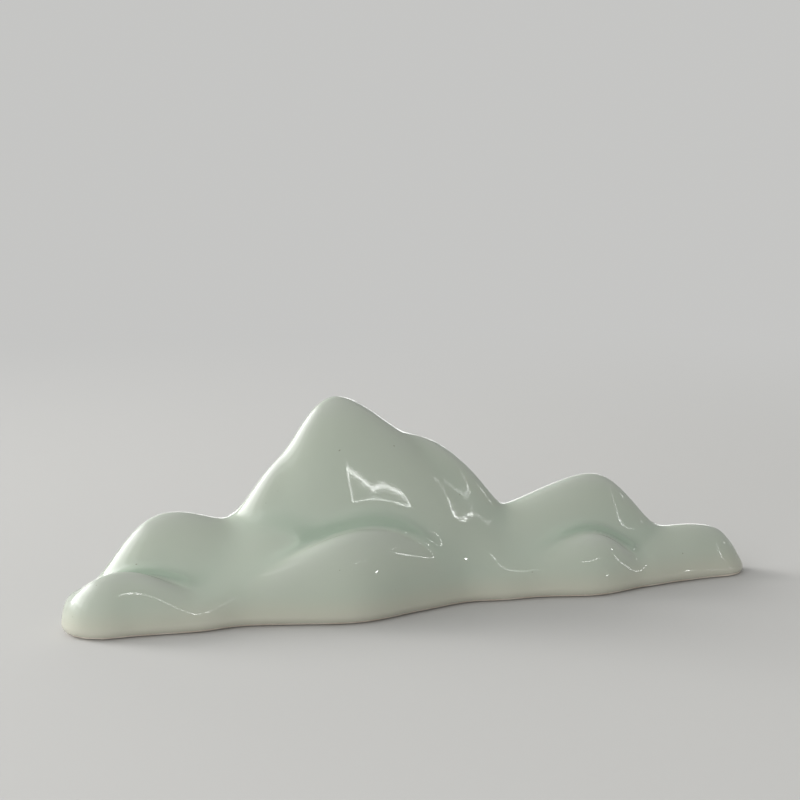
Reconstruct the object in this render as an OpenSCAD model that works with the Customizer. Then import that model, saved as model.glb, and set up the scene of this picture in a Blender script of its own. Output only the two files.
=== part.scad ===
// Mountain-range brush rest: a hollow cast porcelain body with a luted-in base
// slab and a celadon glaze coat. Brushes lie across the saddles between summits.
// X runs along the range, -Y is the front, Z is up. The origin is on the table
// plane, under the middle of the overall box.

/* [Overall] */
// length of the range over both end mounds, mm
rest_length = 175; // [150:1:210]
// radius of the quarter round where the sides meet the table, mm
foot_r = 2.5; // [2:0.1:3]

/* [Summits] */
// height of the main summit above the table, mm
peak_h = 49.8; // [47:0.1:52]
// height of the shoulder to the right of the main summit, mm
shoulder_h = 36.4; // [33:0.1:39]
// height of the spur on the left flank of the main summit, mm
spur_h = 36.8; // [34:0.1:39]
// height of the apron that spreads under the left flank, mm
apron_h = 26.2; // [24:0.1:28]
// height of the narrow neck along the left saddle, mm
neck_h = 15.6; // [13:0.1:18]
// height of the left hump, mm
left_h = 23.9; // [21:0.1:27]
// height of the second summit, mm
second_h = 26.8; // [24:0.1:30]
// height of the low hump at the right end, mm
right_h = 10; // [9:0.1:12]

/* [Foothills] */
// height of the round mound at the front left corner, mm
foot_mound_h = 15.2; // [13:0.1:16.4]
// height of the long low hill in front of the main summit, mm
front_hill_h = 20.8; // [18:0.1:22]
// height of the low hill in front of the second summit, mm
right_front_h = 13.9; // [12.5:0.1:15.5]
// height of the low hill behind the left saddle, mm
back_left_h = 15; // [13:0.5:17]
// height of the low hill behind the middle saddle, mm
back_right_h = 14; // [12:0.5:16]
// height of the low ground that joins all the hills, mm
ground_h = 12.5; // [11.5:0.5:13.5]

/* [Walls] */
// thickness of the cast wall under the summits, mm
wall = 3.5; // [3:0.1:4]
// thickness of the cast wall along the sides at the foot, mm
side_wall = 4.6; // [4.2:0.1:5]
// thickness of the glaze coat on the walls, mm
glaze_t = 0.5; // [0.3:0.05:0.8]
// height above the table where the glaze was wiped off, mm
glaze_edge = 0.8; // [0.6:0.1:1.2]

/* [Base] */
// thickness of the base slab, mm
slab_t = 4; // [3:0.1:4.2]
// width of the band of slip that lutes the slab to the wall, mm
lute_w = 0.6; // [0.4:0.1:1]
// diameter of the firing vent through the slab, mm
vent_d = 5; // [4.5:0.5:7]
// distance of the vent from the middle, to the left, mm
vent_offset = 30; // [20:1:36]

/* [Facets] */
// stations along the front and along the back of the range
stations = 60; // [40:2:60]
// steps around each rounded end
end_steps = 12; // [8:2:12]
// rows of facets from the foot round up to the crest line
rows = 13; // [9:1:13]
// rows of facets over the hollow inside
hollow_rows = 8; // [6:1:8]

/* [Hidden] */
drawn_length = 175;
k = rest_length / drawn_length;
hill_blend = 1.8;
edge_blend = 2;
plan_blend = 4;
roof_gain = 0.42;
crest_y = 3.1;
ray_spread = 0.5;
left_x = -76;
right_x = 79;
hollow_left_x = left_x + 3;
hollow_right_x = right_x - 4;
least_round = 0.8;
least_climb = 2;
ray_span = 56;
ray_turns = 14;
ray_damping = 0.6;
ray_close = 0.0004;
slope_step = 0.01;
low_share = 0.375;
high_share = 0.41;
cut_over = 1;
ring = 2 * stations + 2 * end_steps;
vent_facets = 48;

// each hill: x, y, height, slope down to the left, slope down to the right,
// slope down to front and back, roundness of the top, turn of its crest
HILLS = [
    [-23.6, 3.1, peak_h, 2.12, 0.92, 3.8, 11.3, 0],
    [-33.1, 3.1, spur_h, 1.86, 1.13, 3.6, 12, 0],
    [-36, 3.1, apron_h, 0.86, 0.6, 1.25, 6, 0],
    [7.9, 3.8, shoulder_h, 0.55, 1.95, 4, 20, -6],
    [-49, 4.2, neck_h, 0.42, 0.21, 3, 4, 0],
    [-66.8, 2.8, left_h, 1.66, 0.43, 2.6, 9, 0],
    [-74, -7.8, foot_mound_h, 0.9, 0.9, 2.6, 10, -4],
    [-12.5, -9.6, front_hill_h, 0.52, 0.8, 2, 12, 8],
    [49.4, 3.1, second_h, 0.41, 1.35, 2.5, 6.2, 0],
    [46.2, -7.2, right_front_h, 0.49, 1.3, 2.3, 8, -3],
    [82.4, 1.6, right_h, 0.12, 1.95, 1.8, 6.1, 0],
    [-48, 8.4, back_left_h, 0.45, 0.45, 1.8, 7, 0],
    [20, 8, back_right_h, 0.4, 0.35, 1.8, 7, 0],
    [-22, -1.5, ground_h, 0.1, 0.14, 1, 6, 0]
];

// the outline on the table swells and narrows: x, middle of the depth, half depth
PLAN = [
    [-78.1, -2.6, 10],
    [-58, -1.4, 9.4],
    [-21, 0, 14.8],
    [20, 1.2, 8.4],
    [42, 0.2, 10.3],
    [58, 1.6, 7.6],
    [81.2, 1.5, 8.4]
];

// the same hills shrunk by the wall, for the hollow
HOLLOW_HILLS = [for (h = HILLS)
    let (less = wall / k * (sqrt(1 + h[5] * h[5]) - 1))
    [h[0], h[1], h[2] - wall / k, h[3], h[4], h[5], max(least_round, h[6] - less), h[7]]
];

ONES_HILLS = [for (h = HILLS) 1];
ONES_PLAN = [for (i = [1:len(PLAN) - 1]) 1];

// height of one hill over the point x, y
function hill(h, x, y) =
    let (
        dx = x - h[0],
        dy = y - h[1],
        u = dx * cos(h[7]) + dy * sin(h[7]),
        v = dy * cos(h[7]) - dx * sin(h[7]),
        mean = (h[3] + h[4]) / 2,
        lean = (h[4] - h[3]) / 2
    )
    h[2] - (norm([mean * u, h[5] * v, h[6]]) - h[6] + lean * u);

// all hills melted together
function roof(hills, x, y) =
    hill_blend * ln([for (h = hills) exp(hill(h, x, y) / hill_blend)] * ONES_HILLS);

// distance outside one stretch of the outline
function stretch(p, q, x, y) =
    let (
        along = [q[0] - p[0], q[1] - p[1]],
        raw = ((x - p[0]) * along[0] + (y - p[1]) * along[1]) / (along * along),
        t = min(1, max(0, raw)),
        swell = t * t * (3 - 2 * t)
    )
    norm([x - p[0] - swell * along[0], y - p[1] - swell * along[1]])
    - p[2] - (q[2] - p[2]) * swell;

// distance outside the outline on the table
function side(x, y) =
    -plan_blend * ln([for (i = [1:len(PLAN) - 1])
        exp(-stretch(PLAN[i - 1], PLAN[i], x, y) / plan_blend)] * ONES_PLAN);

// how far the quarter round draws the side in at height z
function foot_inset(r, z) =
    z >= r ? 0 : r - sqrt(max(0, r * r - (r - z) * (r - z)));

// rounded meeting of two distances
function round_max(a, b, r) =
    let (m = max(a, b))
    m + r * ln(exp((a - m) / r) + exp((b - m) / r));

// below zero inside the glazed form
function outer_gap(p) =
    round_max(
        (p[2] - roof(HILLS, p[0], p[1])) * roof_gain,
        side(p[0], p[1]) + foot_inset(foot_r / k, p[2]),
        edge_blend
    );

// below zero inside the hollow
function hollow_gap(p) =
    round_max(
        (p[2] - roof(HOLLOW_HILLS, p[0], p[1])) * roof_gain,
        side(p[0], p[1]) + side_wall / k,
        edge_blend / 2
    );

function gap(kind, p) = kind == "outer" ? outer_gap(p) : hollow_gap(p);

// distance along a ray to the surface, closing in from both sides
function reach(kind, from, dir, near, far, gap_near, gap_far, turns) =
    let (
        t = (near * gap_far - far * gap_near) / (gap_far - gap_near),
        g = gap(kind, from + t * dir)
    )
    turns == 0 || abs(g) < ray_close
        ? t
        : g > 0
            ? reach(kind, from, dir, near, t, gap_near * ray_damping, g, turns - 1)
            : reach(kind, from, dir, t, far, g, gap_far * ray_damping, turns - 1);

function surface_point(kind, from, dir) =
    let (unit = dir / norm(dir))
    from + unit * reach(kind, from, unit, 0, ray_span,
        gap(kind, from), gap(kind, from + ray_span * unit), ray_turns);

// middle of the outline's depth at station x
function middle_y(x) =
    let (
        i = max([for (n = [1:len(PLAN) - 1]) x >= PLAN[n - 1][0] ? n : 1]),
        raw = (x - PLAN[i - 1][0]) / (PLAN[i][0] - PLAN[i - 1][0]),
        t = min(1, max(0, raw))
    )
    PLAN[i - 1][1] + (PLAN[i][1] - PLAN[i - 1][1]) * t * t * (3 - 2 * t);

// start of the rays: under the crest line for the outside, mid depth for the hollow
function base_y(kind, x) = kind == "outer" ? crest_y : middle_y(x);

// start and level direction of the rays, once around the range
function base_x(j, x0, x1) =
    j <= stations
        ? x0 + (x1 - x0) * j / stations
        : j <= stations + end_steps
            ? x1
            : j <= 2 * stations + end_steps
                ? x1 - (x1 - x0) * (j - stations - end_steps) / stations
                : x0;

function heading(j) =
    j <= stations
        ? -90
        : j <= stations + end_steps
            ? -90 + 180 * (j - stations) / end_steps
            : j <= 2 * stations + end_steps
                ? 90
                : 90 + 180 * (j - 2 * stations - end_steps) / end_steps;

// station of the crest line that lies over ring place j
function crest_station(j) =
    j <= stations
        ? j
        : j <= stations + end_steps
            ? stations
            : j <= 2 * stations + end_steps
                ? 2 * stations + end_steps - j
                : 0;

// one ring of level rays at height z
function level_ring(kind, z, x0, x1) =
    [for (j = [0:ring - 1])
        let (x = base_x(j, x0, x1))
        surface_point(kind, [x, base_y(kind, x), z], [cos(heading(j)), sin(heading(j)), 0])];

// rings that climb from the level ring at height z0 to the crest line, then the
// crest line itself; the rays start part of the way out to the ring, so that
// they meet the slopes behind the foothills too
function climbing_rings(kind, z0, x0, x1, hills, level, n) =
    let (
        rays = [for (j = [0:ring - 1])
            let (
                x = base_x(j, x0, x1),
                base = [x, base_y(kind, x), z0]
            )
            [base, level[j] - base, max(least_climb, roof(hills, x, base[1]) - z0)]]
    )
    concat(
        [for (i = [1:n - 1])
            let (turn = 90 * i / n)
            for (r = rays)
                surface_point(kind, r[0] + r[1] * ray_spread * cos(turn),
                    r[1] * (1 - ray_spread) * cos(turn) + [0, 0, r[2] * sin(turn)])],
        [for (j = [0:stations]) surface_point(kind, rays[j][0], [0, 0, 1])]
    );

// outward direction of the glazed form at a point on it
function slope_at(p) =
    let (
        d = slope_step,
        g = outer_gap(p),
        n = [
            outer_gap(p + [d, 0, 0]) - g,
            outer_gap(p + [0, d, 0]) - g,
            outer_gap(p + [0, 0, d]) - g
        ]
    )
    n / norm(n);

// outward level direction of the outline at a point on it
function plan_slope_at(p) =
    let (
        d = slope_step,
        g = side(p[0], p[1]),
        n = [side(p[0] + d, p[1]) - g, side(p[0], p[1] + d) - g, 0]
    )
    n / norm(n);

// heights of the rings round the foot; the first two lie below the glaze
FOOT_Z = [
    0,
    low_share * glaze_edge,
    glaze_edge,
    glaze_edge + high_share * (foot_r - glaze_edge),
    foot_r
] / k;
foot_rings = len(FOOT_Z);
bare_rings = 2;

// how far the bare clay lies inside the glaze face, ring by ring over the foot
CLAY_INSET = [for (z = FOOT_Z)
    glaze_t / k + foot_inset((foot_r - glaze_t) / k, z) - foot_inset(foot_r / k, z)];

GLAZE_FOOT = [for (z = FOOT_Z) each level_ring("outer", z, left_x, right_x)];
GLAZE_TOP_RING = [for (j = [0:ring - 1]) GLAZE_FOOT[(foot_rings - 1) * ring + j]];
GLAZE_UPPER = climbing_rings("outer", foot_r / k, left_x, right_x, HILLS, GLAZE_TOP_RING, rows);
CLAY_FOOT = [for (i = [0:foot_rings - 2])
    for (j = [0:ring - 1])
        let (p = GLAZE_FOOT[i * ring + j])
        p - plan_slope_at(p) * CLAY_INSET[i]];
CLAY_UPPER = [
    for (j = [0:ring - 1])
        let (p = GLAZE_TOP_RING[j])
        p - slope_at(p) * glaze_t / k,
    for (p = GLAZE_UPPER)
        p - slope_at(p) * glaze_t / k
];

HOLLOW_RING = level_ring("hollow", slab_t / k, hollow_left_x, hollow_right_x);
HOLLOW_UPPER = climbing_rings("hollow", slab_t / k, hollow_left_x, hollow_right_x,
    HOLLOW_HILLS, HOLLOW_RING, hollow_rows);

// facets of a dome: n rings from point s on, then the crest line
function dome_faces(s, n, inward) =
    let (top = s + n * ring)
    [
        for (i = [0:n - 2])
            for (j = [0:ring - 1])
                let (
                    a = s + i * ring + j,
                    b = s + i * ring + (j + 1) % ring,
                    c = b + ring,
                    d = a + ring
                )
                each (inward ? [[a, c, d], [a, b, c]] : [[a, d, c], [a, c, b]]),
        for (j = [0:ring - 1])
            let (
                a = s + (n - 1) * ring + j,
                b = s + (n - 1) * ring + (j + 1) % ring,
                c = top + crest_station((j + 1) % ring),
                d = top + crest_station(j)
            )
            each (c == d
                ? (inward ? [[a, b, c]] : [[a, c, b]])
                : (inward ? [[a, c, d], [a, b, c]] : [[a, d, c], [a, c, b]]))
    ];

// facets of a band between the rings that start at points s and t
function band_faces(s, t) =
    [for (j = [0:ring - 1])
        let (m = (j + 1) % ring)
        each [[s + j, t + m, t + j], [s + j, s + m, t + m]]];

function flat(points) = [for (p = points) [p[0], p[1]]];

// the hollow's outline drawn in by the width of the slip band
function slab_outline() =
    [for (j = [0:ring - 1])
        let (
            p = HOLLOW_RING[j],
            q = HOLLOW_RING[(j + 1) % ring],
            o = HOLLOW_RING[(j + ring - 1) % ring],
            along = (q - o) / norm(q - o)
        )
        [p[0] - along[1] * lute_w / k, p[1] + along[0] * lute_w / k]];

// hollow body cast in one piece, open underneath, with a bare foot rim
module cast_body() {
    outside = foot_rings + rows - 1;
    rim = len(CLAY_FOOT) + len(CLAY_UPPER);
    floor_ring = [for (p = HOLLOW_RING) [p[0], p[1], 0]];
    color("#EDE8DF")
        scale(k)
            polyhedron(
                points = concat(CLAY_FOOT, CLAY_UPPER, floor_ring, HOLLOW_RING, HOLLOW_UPPER),
                faces = concat(
                    dome_faces(0, outside, false),
                    band_faces(0, rim),
                    band_faces(rim, rim + ring),
                    dome_faces(rim + ring, hollow_rows, true)
                ),
                convexity = 10
            );
}

// flat slab that closes the body underneath, with the firing vent
module base_slab() {
    color("#E4DCCF")
        difference() {
            linear_extrude(height = slab_t)
                scale(k)
                    polygon(slab_outline());
            translate([-vent_offset, 0, -cut_over])
                cylinder(d = vent_d, h = slab_t + 2 * cut_over, $fn = vent_facets);
        }
}

// band of slip between the slab's edge and the wall
module luting_seam() {
    color("#DDD3C4")
        linear_extrude(height = slab_t)
            scale(k)
                difference() {
                    polygon(flat(HOLLOW_RING));
                    polygon(slab_outline());
                }
}

// thin glass coat over the outside, ending just above the table
module glaze_coat() {
    glaze_outer = concat(
        [for (i = [bare_rings * ring:len(GLAZE_FOOT) - 1]) GLAZE_FOOT[i]],
        GLAZE_UPPER
    );
    glaze_inner = concat(
        [for (i = [bare_rings * ring:len(CLAY_FOOT) - 1]) CLAY_FOOT[i]],
        CLAY_UPPER
    );
    deep = foot_rings - bare_rings + rows - 1;
    color("#AEBBB1")
        scale(k)
            polyhedron(
                points = concat(glaze_outer, glaze_inner),
                faces = concat(
                    dome_faces(0, deep, false),
                    band_faces(0, len(glaze_outer)),
                    dome_faces(len(glaze_outer), deep, true)
                ),
                convexity = 10
            );
}

cast_body();
base_slab();
luting_seam();
glaze_coat();
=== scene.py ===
import math

import bpy
import numpy as np
from mathutils import Matrix, Vector


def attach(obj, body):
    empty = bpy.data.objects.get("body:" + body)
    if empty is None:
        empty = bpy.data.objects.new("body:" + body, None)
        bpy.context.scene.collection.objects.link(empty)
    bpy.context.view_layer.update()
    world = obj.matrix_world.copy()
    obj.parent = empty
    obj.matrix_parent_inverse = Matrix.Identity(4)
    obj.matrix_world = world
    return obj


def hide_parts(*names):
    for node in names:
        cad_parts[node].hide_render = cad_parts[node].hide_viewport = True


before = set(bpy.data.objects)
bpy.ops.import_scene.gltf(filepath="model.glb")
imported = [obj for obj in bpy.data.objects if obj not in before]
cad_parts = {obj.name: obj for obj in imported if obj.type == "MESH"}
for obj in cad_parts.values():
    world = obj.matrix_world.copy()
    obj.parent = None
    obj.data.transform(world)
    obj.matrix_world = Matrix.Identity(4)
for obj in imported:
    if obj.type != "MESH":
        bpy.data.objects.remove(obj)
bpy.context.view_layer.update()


# Cast body. The hollow porcelain shell, slip cast in a plaster mould and fired.
# Only its bare foot rim shows, below the glaze; the CAD solid is kept as it is.
class Shade:
    """One socket of a material. Sums, differences and products add Math nodes."""

    def __init__(self, tree, socket=None):
        self.tree = tree
        self.socket = socket

    def node(self, kind, settings=None, inputs=None, output=0):
        """Adds a node of this kind, with its settings first and then its inputs."""
        made = self.tree.nodes.new(kind)
        for name, value in (settings or {}).items():
            if name == "stops":
                while len(made.color_ramp.elements) < len(value):
                    made.color_ramp.elements.new(1.0)
                for element, (place, shade) in zip(made.color_ramp.elements, value):
                    element.position = place
                    element.color = (*shade, 1.0)
            else:
                setattr(made, name, value)
        for name, value in (inputs or {}).items():
            if isinstance(value, Shade):
                self.tree.links.new(value.socket, made.inputs[name])
            else:
                made.inputs[name].default_value = value
        return Shade(self.tree, made.outputs[output])

    def sum_of(self, operation, first, second, clamp=False):
        return self.node("ShaderNodeMath", {"operation": operation, "use_clamp": clamp},
                         {0: first, 1: second})

    def __add__(self, other):
        return self.sum_of("ADD", self, other)

    __radd__ = __add__

    def __sub__(self, other):
        return self.sum_of("SUBTRACT", self, other)

    def __rsub__(self, other):
        return self.sum_of("SUBTRACT", other, self)

    def __mul__(self, other):
        return self.sum_of("MULTIPLY", self, other)

    __rmul__ = __mul__

    def clamped(self):
        return self.sum_of("ADD", self, 0.0, clamp=True)

    def blend(self, low, high):
        """Colour that goes from low to high as this value goes from 0 to 1."""
        low = low if isinstance(low, Shade) else (*low, 1.0)
        high = high if isinstance(high, Shade) else (*high, 1.0)
        return self.node("ShaderNodeMix", {"data_type": "RGBA"},
                         {0: self, 6: low, 7: high}, output=2)

    def noise(self, place, scale, detail=2.0, roughness=0.5):
        return self.node("ShaderNodeTexNoise", None,
                         {"Vector": place, "Scale": scale, "Detail": detail,
                          "Roughness": roughness})

    def between(self, low, high):
        """0 below low and 1 above high, with a smooth step between them."""
        return self.node("ShaderNodeMapRange", {"interpolation_type": "SMOOTHSTEP"},
                         {"Value": self, "From Min": low, "From Max": high})


def new_material(name, surface):
    """A material whose Principled sockets surface(paint) returns as a dictionary."""
    material = bpy.data.materials.new(name)
    material.use_nodes = True
    tree = material.node_tree
    principled = tree.nodes["Principled BSDF"]
    for socket, value in surface(Shade(tree)).items():
        if isinstance(value, Shade):
            tree.links.new(value.socket, principled.inputs[socket])
        else:
            principled.inputs[socket].default_value = value
    return material


def object_place(paint):
    return paint.node("ShaderNodeTexCoord", output=3)


def fired_clay(pale, dark, grain, bump_depth):
    """Unglazed clay: two tones in soft mottles, rare iron specks and a fine grain."""
    def surface(paint):
        place = object_place(paint)
        mottle = paint.noise(place, 160.0, 4.0, 0.6).between(0.35, 0.65)
        specks = paint.noise(place, 1500.0, 1.0).between(0.76, 0.80)
        tone = mottle.blend(pale, dark)
        grit = paint.noise(place, grain, 3.0, 0.7)
        return {
            "Base Color": specks.blend(tone, (0.16, 0.10, 0.06)),
            "Roughness": 0.62 + 0.16 * grit,
            "IOR": 1.5,
            "Normal": paint.node("ShaderNodeBump", None,
                                 {"Strength": 0.5, "Distance": bump_depth,
                                  "Height": grit}),
        }
    return surface


def finish_node(name, material):
    """The CAD solid stays as it is and gets the material."""
    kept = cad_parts[name]
    kept.data.materials.clear()
    kept.data.materials.append(material)


finish_node("cast_body", new_material(
    "bare_porcelain", fired_clay((0.76, 0.71, 0.63), (0.68, 0.61, 0.52), 2400.0, 0.00004)))


# Base slab. A rolled slab of the same porcelain, trimmed to the hollow and set in
# flush with the rim; wiped flat with a sponge, with one round vent for the kiln.
def wiped_slab(paint):
    """The bare clay, crossed by faint long streaks that the sponge left."""
    sockets = fired_clay((0.72, 0.67, 0.59), (0.63, 0.56, 0.48), 1700.0, 0.00006)(paint)
    stretched = paint.node("ShaderNodeMapping", None,
                           {"Vector": object_place(paint), "Scale": (60.0, 900.0, 900.0)})
    streaks = paint.noise(stretched, 1.0, 3.0, 0.6)
    sockets["Roughness"] = 0.60 + 0.22 * streaks
    return sockets


finish_node("base_slab", new_material("wiped_slab", wiped_slab))


# Luting seam. The thin band of slip that joins slab and wall; it was brushed in
# wet and smeared level, so it is a little darker and lumpier than the slab.
finish_node("luting_seam", new_material(
    "fired_slip", fired_clay((0.66, 0.60, 0.52), (0.56, 0.49, 0.41), 1100.0, 0.00012)))


# Glaze coat. Celadon glass, half a millimetre thick, dipped on and fired glossy.
# It runs thin and pale over the crests, pools greener in the creases, and was
# wiped off just above the table, where it ends in a rounded lip.
MM = 0.001
# sizes in mm: the quarter round at the table, the lower edge of the glaze and its
# thickness, and how softly hills, edges and the outline on the table melt together
foot_radius = 2.5
glaze_edge = 0.8
glaze_thickness = 0.5
hill_blend = 1.8
edge_blend = 2.0
outline_blend = 4.0
# the roof's height difference counts less than the side's distance, as it is steep
roof_gain = 0.42
# the crest line, from which the rays of the grid start
crest_y = 3.1
left_x, right_x = -76.0, 79.0

# x, y, height, slope down to the left, to the right, to front and back,
# roundness of the top, turn of the crest in degrees
hills = np.array([
    (-23.6, 3.1, 49.8, 2.12, 0.92, 3.8, 11.3, 0),
    (-33.1, 3.1, 36.8, 1.86, 1.13, 3.6, 12, 0),
    (-36, 3.1, 26.2, 0.86, 0.6, 1.25, 6, 0),
    (7.9, 3.8, 36.4, 0.55, 1.95, 4, 20, -6),
    (-49, 4.2, 15.6, 0.42, 0.21, 3, 4, 0),
    (-66.8, 2.8, 23.9, 1.66, 0.43, 2.6, 9, 0),
    (-74, -7.8, 15.2, 0.9, 0.9, 2.6, 10, -4),
    (-12.5, -9.6, 20.8, 0.52, 0.8, 2, 12, 8),
    (49.4, 3.1, 26.8, 0.41, 1.35, 2.5, 6.2, 0),
    (46.2, -7.2, 13.9, 0.49, 1.3, 2.3, 8, -3),
    (82.4, 1.6, 10, 0.12, 1.95, 1.8, 6.1, 0),
    (-48, 8.4, 15, 0.45, 0.45, 1.8, 7, 0),
    (20, 8, 14, 0.4, 0.35, 1.8, 7, 0),
    (-22, -1.5, 12.5, 0.1, 0.14, 1, 6, 0),
])
# the outline on the table: x, middle of the depth, half depth
outline = np.array([
    (-78.1, -2.6, 10), (-58, -1.4, 9.4), (-21, 0, 14.8), (20, 1.2, 8.4),
    (42, 0.2, 10.3), (58, 1.6, 7.6), (81.2, 1.5, 8.4),
])


def roof_height(x, y):
    """Each hill is a leaning hyperbola; the hills melt by a log of summed exponents."""
    total = 0.0
    for hx, hy, top, left, right, across, round_top, turn in hills:
        a = math.radians(turn)
        u = (x - hx) * math.cos(a) + (y - hy) * math.sin(a)
        v = (y - hy) * math.cos(a) - (x - hx) * math.sin(a)
        steep, lean = (left + right) / 2, (right - left) / 2
        fall = np.sqrt((steep * u) ** 2 + (across * v) ** 2 + round_top ** 2)
        total = total + np.exp((top - (fall - round_top + lean * u)) / hill_blend)
    return hill_blend * np.log(total)


def outside_outline(x, y):
    """Distance outside swelling capsules strung from one outline station to the next."""
    total = 0.0
    for (x0, y0, r0), (x1, y1, r1) in zip(outline[:-1], outline[1:]):
        dx, dy = x1 - x0, y1 - y0
        t = np.clip(((x - x0) * dx + (y - y0) * dy) / (dx * dx + dy * dy), 0, 1)
        t = t * t * (3 - 2 * t)
        away = np.hypot(x - x0 - t * dx, y - y0 - t * dy) - r0 - (r1 - r0) * t
        total = total + np.exp(-away / outline_blend)
    return -outline_blend * np.log(total)


def form_gap(p):
    """Below 0 inside the glazed form: rounded maximum of roof and sides."""
    x, y, z = p[..., 0], p[..., 1], p[..., 2]
    low = np.clip(foot_radius - z, 0, foot_radius)
    inset = foot_radius - np.sqrt(foot_radius ** 2 - low ** 2)
    roof = (z - roof_height(x, y)) * roof_gain
    side = outside_outline(x, y) + inset
    most = np.maximum(roof, side)
    return most + edge_blend * np.log(np.exp((roof - most) / edge_blend)
                                      + np.exp((side - most) / edge_blend))


def form_slope(p, step):
    """Gradient of the gap by central differences over the given step."""
    return np.stack([(form_gap(p + step * axis) - form_gap(p - step * axis)) / (2 * step)
                     for axis in np.eye(3)], -1)


def top_height(x, y):
    """Height of the surface above the foot, solved from the gap for a plan point."""
    side = np.minimum(outside_outline(x, y), -1e-6)
    return roof_height(x, y) + edge_blend / roof_gain * np.log(-np.expm1(side / edge_blend))


# rays in plan from the crest line outwards: along the front, round the right end,
# along the back and round the left end
stations, fan = 352, 48
ray_limit, halvings = 30.0, 44
arc_samples, crest_crowding = 480, 2.2
foot_ring_count, upper_ring_count = 6, 78
along = np.linspace(left_x, right_x, stations + 1)
spread = np.linspace(-90.0, 90.0, fan + 1)
ray_x = np.concatenate([along[:-1], np.full(fan, right_x), along[:0:-1], np.full(fan, left_x)])
ray_angle = np.radians(np.concatenate([
    np.full(stations, -90.0), spread[:-1], np.full(stations, 90.0), 180 + spread[:-1]]))
ray_dir = np.stack([np.cos(ray_angle), np.sin(ray_angle)], -1)
ring = len(ray_x)


def level_ring(z):
    """Points where the rays cross the surface at height z, by halving the ray's length."""
    near, far = np.zeros(ring), np.full(ring, ray_limit)
    for _ in range(halvings):
        mid = (near + far) / 2
        p = np.stack([ray_x + mid * ray_dir[:, 0], crest_y + mid * ray_dir[:, 1],
                      np.full(ring, z)], -1)
        inside = form_gap(p) < 0
        near, far = np.where(inside, mid, near), np.where(inside, far, mid)
    return p, mid


def upper_rows(rows):
    """Rows from the foot ring up to the crest line, evenly spaced along each ray's arc:
    the arc's length is summed over fine steps and read back at even shares of it."""
    reach = level_ring(foot_radius)[1]
    t = 1 - np.linspace(0, 1, arc_samples)[None, :] ** crest_crowding * np.ones((ring, 1))
    x = ray_x[:, None] + t * reach[:, None] * ray_dir[:, :1]
    y = crest_y + t * reach[:, None] * ray_dir[:, 1:]
    z = np.maximum(top_height(x, y), foot_radius)
    steps = np.sqrt(np.diff(x) ** 2 + np.diff(y) ** 2 + np.diff(z) ** 2) + 1e-9
    length = np.concatenate([np.zeros((ring, 1)), np.cumsum(steps, 1)], 1)
    # each ray's shares lie just short of one after its number, so one call reads all
    length = length / length[:, -1:] * 0.999 + np.arange(ring)[:, None]
    wanted = np.linspace(0, 0.999, rows + 1)[None, :] + np.arange(ring)[:, None]
    even = np.interp(wanted.ravel(), length.ravel(), t.ravel()).reshape(ring, -1)
    x = ray_x[:, None] + even * reach[:, None] * ray_dir[:, :1]
    y = crest_y + even * reach[:, None] * ray_dir[:, 1:]
    z = np.maximum(top_height(x, y), foot_radius)
    return np.stack([x, y, z], -1).transpose(1, 0, 2)


lip_radius = glaze_thickness / 2
foot_heights = np.linspace(glaze_edge + lip_radius, foot_radius, foot_ring_count + 1)[:-1]
foot_rows = np.stack([level_ring(z)[0] for z in foot_heights])
outer = np.concatenate([foot_rows, upper_rows(upper_ring_count)])
outward = form_slope(outer, 0.02)
outward /= np.linalg.norm(outward, axis=-1, keepdims=True)

# the hand-smoothed clay leaves slow shallow waves, all of them inwards
x, y, z = outer[..., 0], outer[..., 1], outer[..., 2]
waves = (np.sin(0.31 * x + 0.9 * np.sin(0.11 * z + 0.2 * y))
         + np.sin(0.23 * z - 0.17 * x + 1.3) + np.sin(0.47 * y + 0.19 * x + 0.6))
wave_depth = 0.025
dip = wave_depth * (waves + 3) / 3 * np.clip((z - 2) / 6, 0, 1)

# how much glaze pools: the gap's curvature, from its second differences over a short
# reach, from crest (-1) to crease (+1); the glass fills the creases by a little more
bend_reach, pool_gain = 1.2, 2.2
crease_depth, crease_gain = 0.65, 1.5
bend = sum(form_gap(outer + bend_reach * axis) + form_gap(outer - bend_reach * axis)
           for axis in np.eye(3)) - 6 * form_gap(outer)
bend /= bend_reach ** 2 * np.linalg.norm(form_slope(outer, 0.3), axis=-1)
pooled_glass = np.clip(-bend * pool_gain, -1, 1)
crease_fill = crease_depth * np.clip(pooled_glass * crease_gain, 0, 1) ** 2

# the sheet on the clay keeps every foot row and each third row above it
inner_pick = np.r_[np.arange(0, foot_ring_count),
                   np.arange(foot_ring_count, len(outer) - 1, 3), len(outer) - 1]
inner = (outer - outward * (dip[..., None] + glaze_thickness))[inner_pick][::-1]
outer = outer + outward * (crease_fill - dip)[..., None]

# the lip is a half circle under both sheets' lower edges
half_turn = np.linspace(0, math.pi, 7)[1:-1]
lip_middle = (outer[0] + inner[-1]) / 2
lip_side = (outer[0] - inner[-1]) / 2
lip = np.stack([lip_middle + lip_side * math.cos(a) - [0, 0, lip_radius * math.sin(a)]
                for a in half_turn])[::-1]
sheet = np.concatenate([inner, lip, outer])

pool = np.zeros(sheet.shape[:2])
pool[-len(outer):] = pooled_glass


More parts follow.
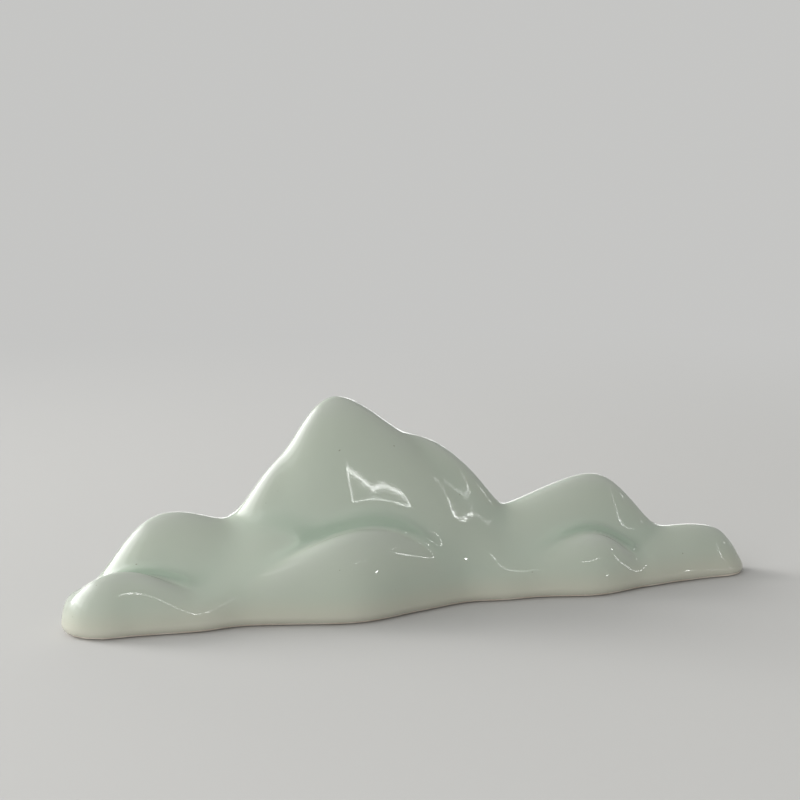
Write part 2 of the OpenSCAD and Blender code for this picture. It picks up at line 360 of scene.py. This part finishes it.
def closed_shell(name, rows, values):
    """Joins rows of a ring into quads; the first and last rows fold onto the crest,
    where the front and the back of the ring meet point by point."""
    count = len(rows)
    crest_of = np.concatenate([np.arange(stations), np.full(fan, stations),
                               np.arange(stations, 0, -1), np.zeros(fan, int)])
    index = np.arange(count * ring).reshape(count, ring)
    body = rows[1:-1].reshape(-1, 3)
    body_values = values[1:-1].ravel()
    index = index - ring
    first = len(body)
    pick = np.concatenate([np.arange(stations), [stations]])
    index[0] = first + crest_of
    index[-1] = first + stations + 1 + crest_of
    points = np.concatenate([body, rows[0][pick], rows[-1][pick]])
    point_values = np.concatenate([body_values, values[0][pick], values[-1][pick]])
    nxt = np.roll(index, -1, axis=1)
    quads = np.stack([index[:-1], nxt[:-1], nxt[1:], index[1:]], -1).reshape(-1, 4)
    flat_low = quads[:, 0] == quads[:, 1]
    flat_high = quads[:, 2] == quads[:, 3]
    faces = (quads[~flat_low & ~flat_high].tolist()
             + quads[flat_low][:, 1:].tolist() + quads[flat_high][:, :3].tolist())
    mesh = bpy.data.meshes.new(name)
    mesh.from_pydata((points * MM).tolist(), [], faces)
    mesh.polygons.foreach_set("use_smooth", np.ones(len(mesh.polygons), bool))
    held = mesh.attributes.new("pool", "FLOAT", "POINT")
    held.data.foreach_set("value", point_values.astype(np.float32))
    mesh.update()
    made = bpy.data.objects.new(name, mesh)
    bpy.context.scene.collection.objects.link(made)
    return made


def celadon(paint):
    """Green glass over white clay: pale on crests, deep in creases, and warmer near the foot,
    partly clay through thin glaze and partly a painted reflection of a warm table.
    """
    place = object_place(paint)
    pooled = paint.node("ShaderNodeAttribute", {"attribute_name": "pool"}, output=2)
    height = paint.node("ShaderNodeSeparateXYZ", None, {"Vector": place}, output=2)
    cloud = paint.noise(place, 34.0, 3.0, 0.5) - 0.5
    depth = (0.5 + 0.5 * pooled + 0.3 * cloud).clamped()
    tone = depth.node("ShaderNodeValToRGB", {"stops": [
        (0.0, (0.415, 0.445, 0.39)), (0.38, (0.39, 0.43, 0.36)),
        (0.62, (0.38, 0.43, 0.36)), (1.0, (0.30, 0.37, 0.295))]}, {"Fac": depth})
    # warmer towards the foot: partly the clay through thin glaze, partly a painted reflection
    # of a warm table below
    foot_tint_and_table_reflection = 1 - height.between(0.0012, 0.0085)
    tone = (0.6 * foot_tint_and_table_reflection).blend(tone, (0.465, 0.44, 0.36))
    specks = paint.noise(place, 1100.0, 0.0).between(0.88, 0.91)
    ripple = paint.noise(place, 110.0, 2.0, 0.4)
    return {
        "Base Color": (0.55 * specks).blend(tone, (0.12, 0.10, 0.07)),
        "Roughness": 0.05 + 0.05 * cloud,
        "IOR": 1.52,
        "Subsurface Weight": 0.08,
        "Subsurface Radius": (0.002, 0.003, 0.002),
        "Coat Roughness": 0.03,
        "Normal": paint.node("ShaderNodeBump", None,
                             {"Strength": 0.25, "Distance": 0.00006, "Height": ripple}),
    }


glaze = closed_shell("celadon_glaze", sheet, pool)
glaze.data.materials.append(new_material("celadon", celadon))
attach(glaze, "root")
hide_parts("glaze_coat")


# Stage. A plain pale floor that the rest stands on, plain soft light and the
# photograph's view; none of it belongs to the object.
half_floor = 60
floor_mesh = bpy.data.meshes.new("floor")
floor_mesh.from_pydata([(-half_floor, -half_floor, 0), (half_floor, -half_floor, 0),
                        (half_floor, half_floor, 0), (-half_floor, half_floor, 0)],
                       [], [(0, 1, 2, 3)])
floor = bpy.data.objects.new("floor", floor_mesh)
bpy.context.scene.collection.objects.link(floor)
backdrop = (0.56, 0.56, 0.55)
fade_start, fade_end = 0.14, 0.50


def seen_directly(paint):
    """1 for rays from the camera and rays off or through a smooth surface, else 0."""
    return sum(paint.node("ShaderNodeLightPath", output=kind)
               for kind in ("Is Camera Ray", "Is Glossy Ray", "Is Transmission Ray")).clamped()


def pale_floor(paint):
    """Matt floor under the object that fades into the plain backdrop further out."""
    away = paint.node("ShaderNodeVectorMath", {"operation": "LENGTH"},
                      {0: object_place(paint)}, output=1)
    far = seen_directly(paint) * away.between(fade_start, fade_end)
    return {
        "Base Color": far.blend((0.51, 0.505, 0.492), (0.0, 0.0, 0.0)),
        "Roughness": 0.8,
        "Specular IOR Level": 0.0,
        "Emission Color": far.blend((0.0, 0.0, 0.0), backdrop),
        "Emission Strength": 1.0,
    }


floor_mesh.materials.append(new_material("pale_floor", pale_floor))

world = bpy.data.worlds.new("studio")
bpy.context.scene.world = world
world.use_nodes = True
sky = Shade(world.node_tree)
background = world.node_tree.nodes["Background"]
world.node_tree.links.new(seen_directly(sky).blend((0.47, 0.475, 0.468), backdrop).socket,
                          background.inputs["Color"])
background.inputs["Strength"].default_value = 1.0
lamp_aim = (0, 0, 0.02)
window_reach = 1.4


def soft_box(name, place, size, power, lit=True, mirrored=True):
    """A rectangular lamp at a place, turned to face the object; it lights matt colour
    only if lit, and shows as a reflection only if mirrored."""
    lamp = bpy.data.lights.new(name, "AREA")
    lamp.shape = "RECTANGLE"
    lamp.size, lamp.size_y = size
    lamp.energy = power
    made = bpy.data.objects.new(name, lamp)
    made.location = place
    made.visible_diffuse = lit
    made.visible_glossy = mirrored
    gaze = np.array(lamp_aim) - np.array(place)
    gaze = gaze / np.linalg.norm(gaze)
    made.rotation_euler = (math.acos(-gaze[2]), 0, math.atan2(gaze[0], -gaze[1]) + math.pi)
    bpy.context.scene.collection.objects.link(made)


# the main light comes from behind on the left, in three boxes whose edges fade out;
# the curtains only carry its reflection down the left flanks, and the fill is matt
soft_box("key_left", (-1.18, 0.86, 0.62), (0.6, 0.9), 12.5)
soft_box("key_inner_halo", (-1.27, 0.73, 0.70), (1.3, 1.2), 9.6)
soft_box("key_outer_halo", (-1.38, 0.50, 0.76), (2.2, 1.6), 10.8)
for number, (place, size, power) in enumerate([
        ((-1.34, 0.40, 0.86), (1.1, 1.1), 8.0), ((-1.36, 0.16, 0.90), (1.7, 1.3), 13.0),
        ((-1.34, -0.06, 0.92), (2.3, 1.5), 9.0)]):
    soft_box(f"curtain_{number}", place, size, power, lit=False)
soft_box("rim_back", (0.33, 1.53, 0.33), (1.6, 0.4), 6.6)
soft_box("fill_front", (-1.0, -1.0, 0.52), (1.2, 0.9), 11.4, mirrored=False)


def window_bar(name, seen_at, start, end, glow, width):
    """A thin bright bar of a far window, between two (azimuth, elevation) directions
    from the place on the glaze, in mm, that mirrors it."""
    ends = [window_reach * np.array([
        math.sin(math.radians(a)) * math.cos(math.radians(e)),
        -math.cos(math.radians(a)) * math.cos(math.radians(e)),
        math.sin(math.radians(e))]) for a, e in (start, end)]
    middle = (ends[0] + ends[1]) / 2
    run = ends[1] - ends[0]
    lamp = bpy.data.lights.new(name, "AREA")
    lamp.shape = "RECTANGLE"
    lamp.size, lamp.size_y = float(np.linalg.norm(run)), width
    lamp.energy = glow * math.pi * lamp.size * lamp.size_y
    made = bpy.data.objects.new(name, lamp)
    out = Vector(middle).normalized()
    along = Vector(run).normalized()
    side = out.cross(along).normalized()
    made.matrix_world = Matrix((along, side, out)).transposed().to_4x4()
    made.location = middle + np.array(seen_at) * MM
    bpy.context.scene.collection.objects.link(made)


# the window's frame, its long slanted mullion, a far edge, and two low sparkles;
# each direction is the mirrored line of sight at a place on the glaze
for group, seen_at, width, glow, path in [
        ("frame", (-18, -6, 28), 0.006, 30.0, [(7.6, 18.6), (7.6, 20.7)]),
        ("sill", (-12, -7, 23), 0.006, 24.0,
         [(7.6, 20.7), (18.3, 20.1), (24.0, 21.1), (33.0, 21.5)]),
        ("jamb", (-5, -6, 27), 0.006, 26.0, [(33.0, 21.5), (33.6, 20.2)]),
        ("mullion", (6, -4, 25), 0.003, 42.0,
         [(61.6, 25.5), (58.6, 23.6), (56.2, 21.8), (54.4, 20.1)]),
        ("mullion_top", (5, -3, 28), 0.003, 15.0, [(67.2, 28.9), (64.2, 27.1), (61.6, 25.5)]),
        ("edge", (17, 0, 24), 0.010, 20.0, [(85.3, 24.0), (86.2, 22.4), (87.2, 23.0)]),
        ("low_pane", (50, -10, 7), 0.010, 20.0, [(56.0, 19.0), (60.0, 12.0), (68.5, 5.5)]),
        ("glint", (40, -9, 5), 0.010, 60.0, [(38.5, 5.5), (41.0, 5.5)])]:
    for number, (start, end) in enumerate(zip(path[:-1], path[1:])):
        window_bar(f"{group}_{number}", seen_at, start, end, glow, width)

# the photograph's view: the place and the two turns of a camera fitted to the outline
camera_lens = bpy.data.cameras.new("photo_view")
camera_lens.lens = 90
camera_lens.sensor_width = 36
camera_lens.clip_start = 0.01
camera = bpy.data.objects.new("photo_view", camera_lens)
camera.location = (-0.15281, -0.44657, 0.13010)
camera.rotation_euler = (math.radians(90 - 9.727), 0, math.radians(-18.278))
bpy.context.scene.collection.objects.link(camera)
bpy.context.scene.camera = camera
bpy.context.scene.view_settings.view_transform = "Standard"
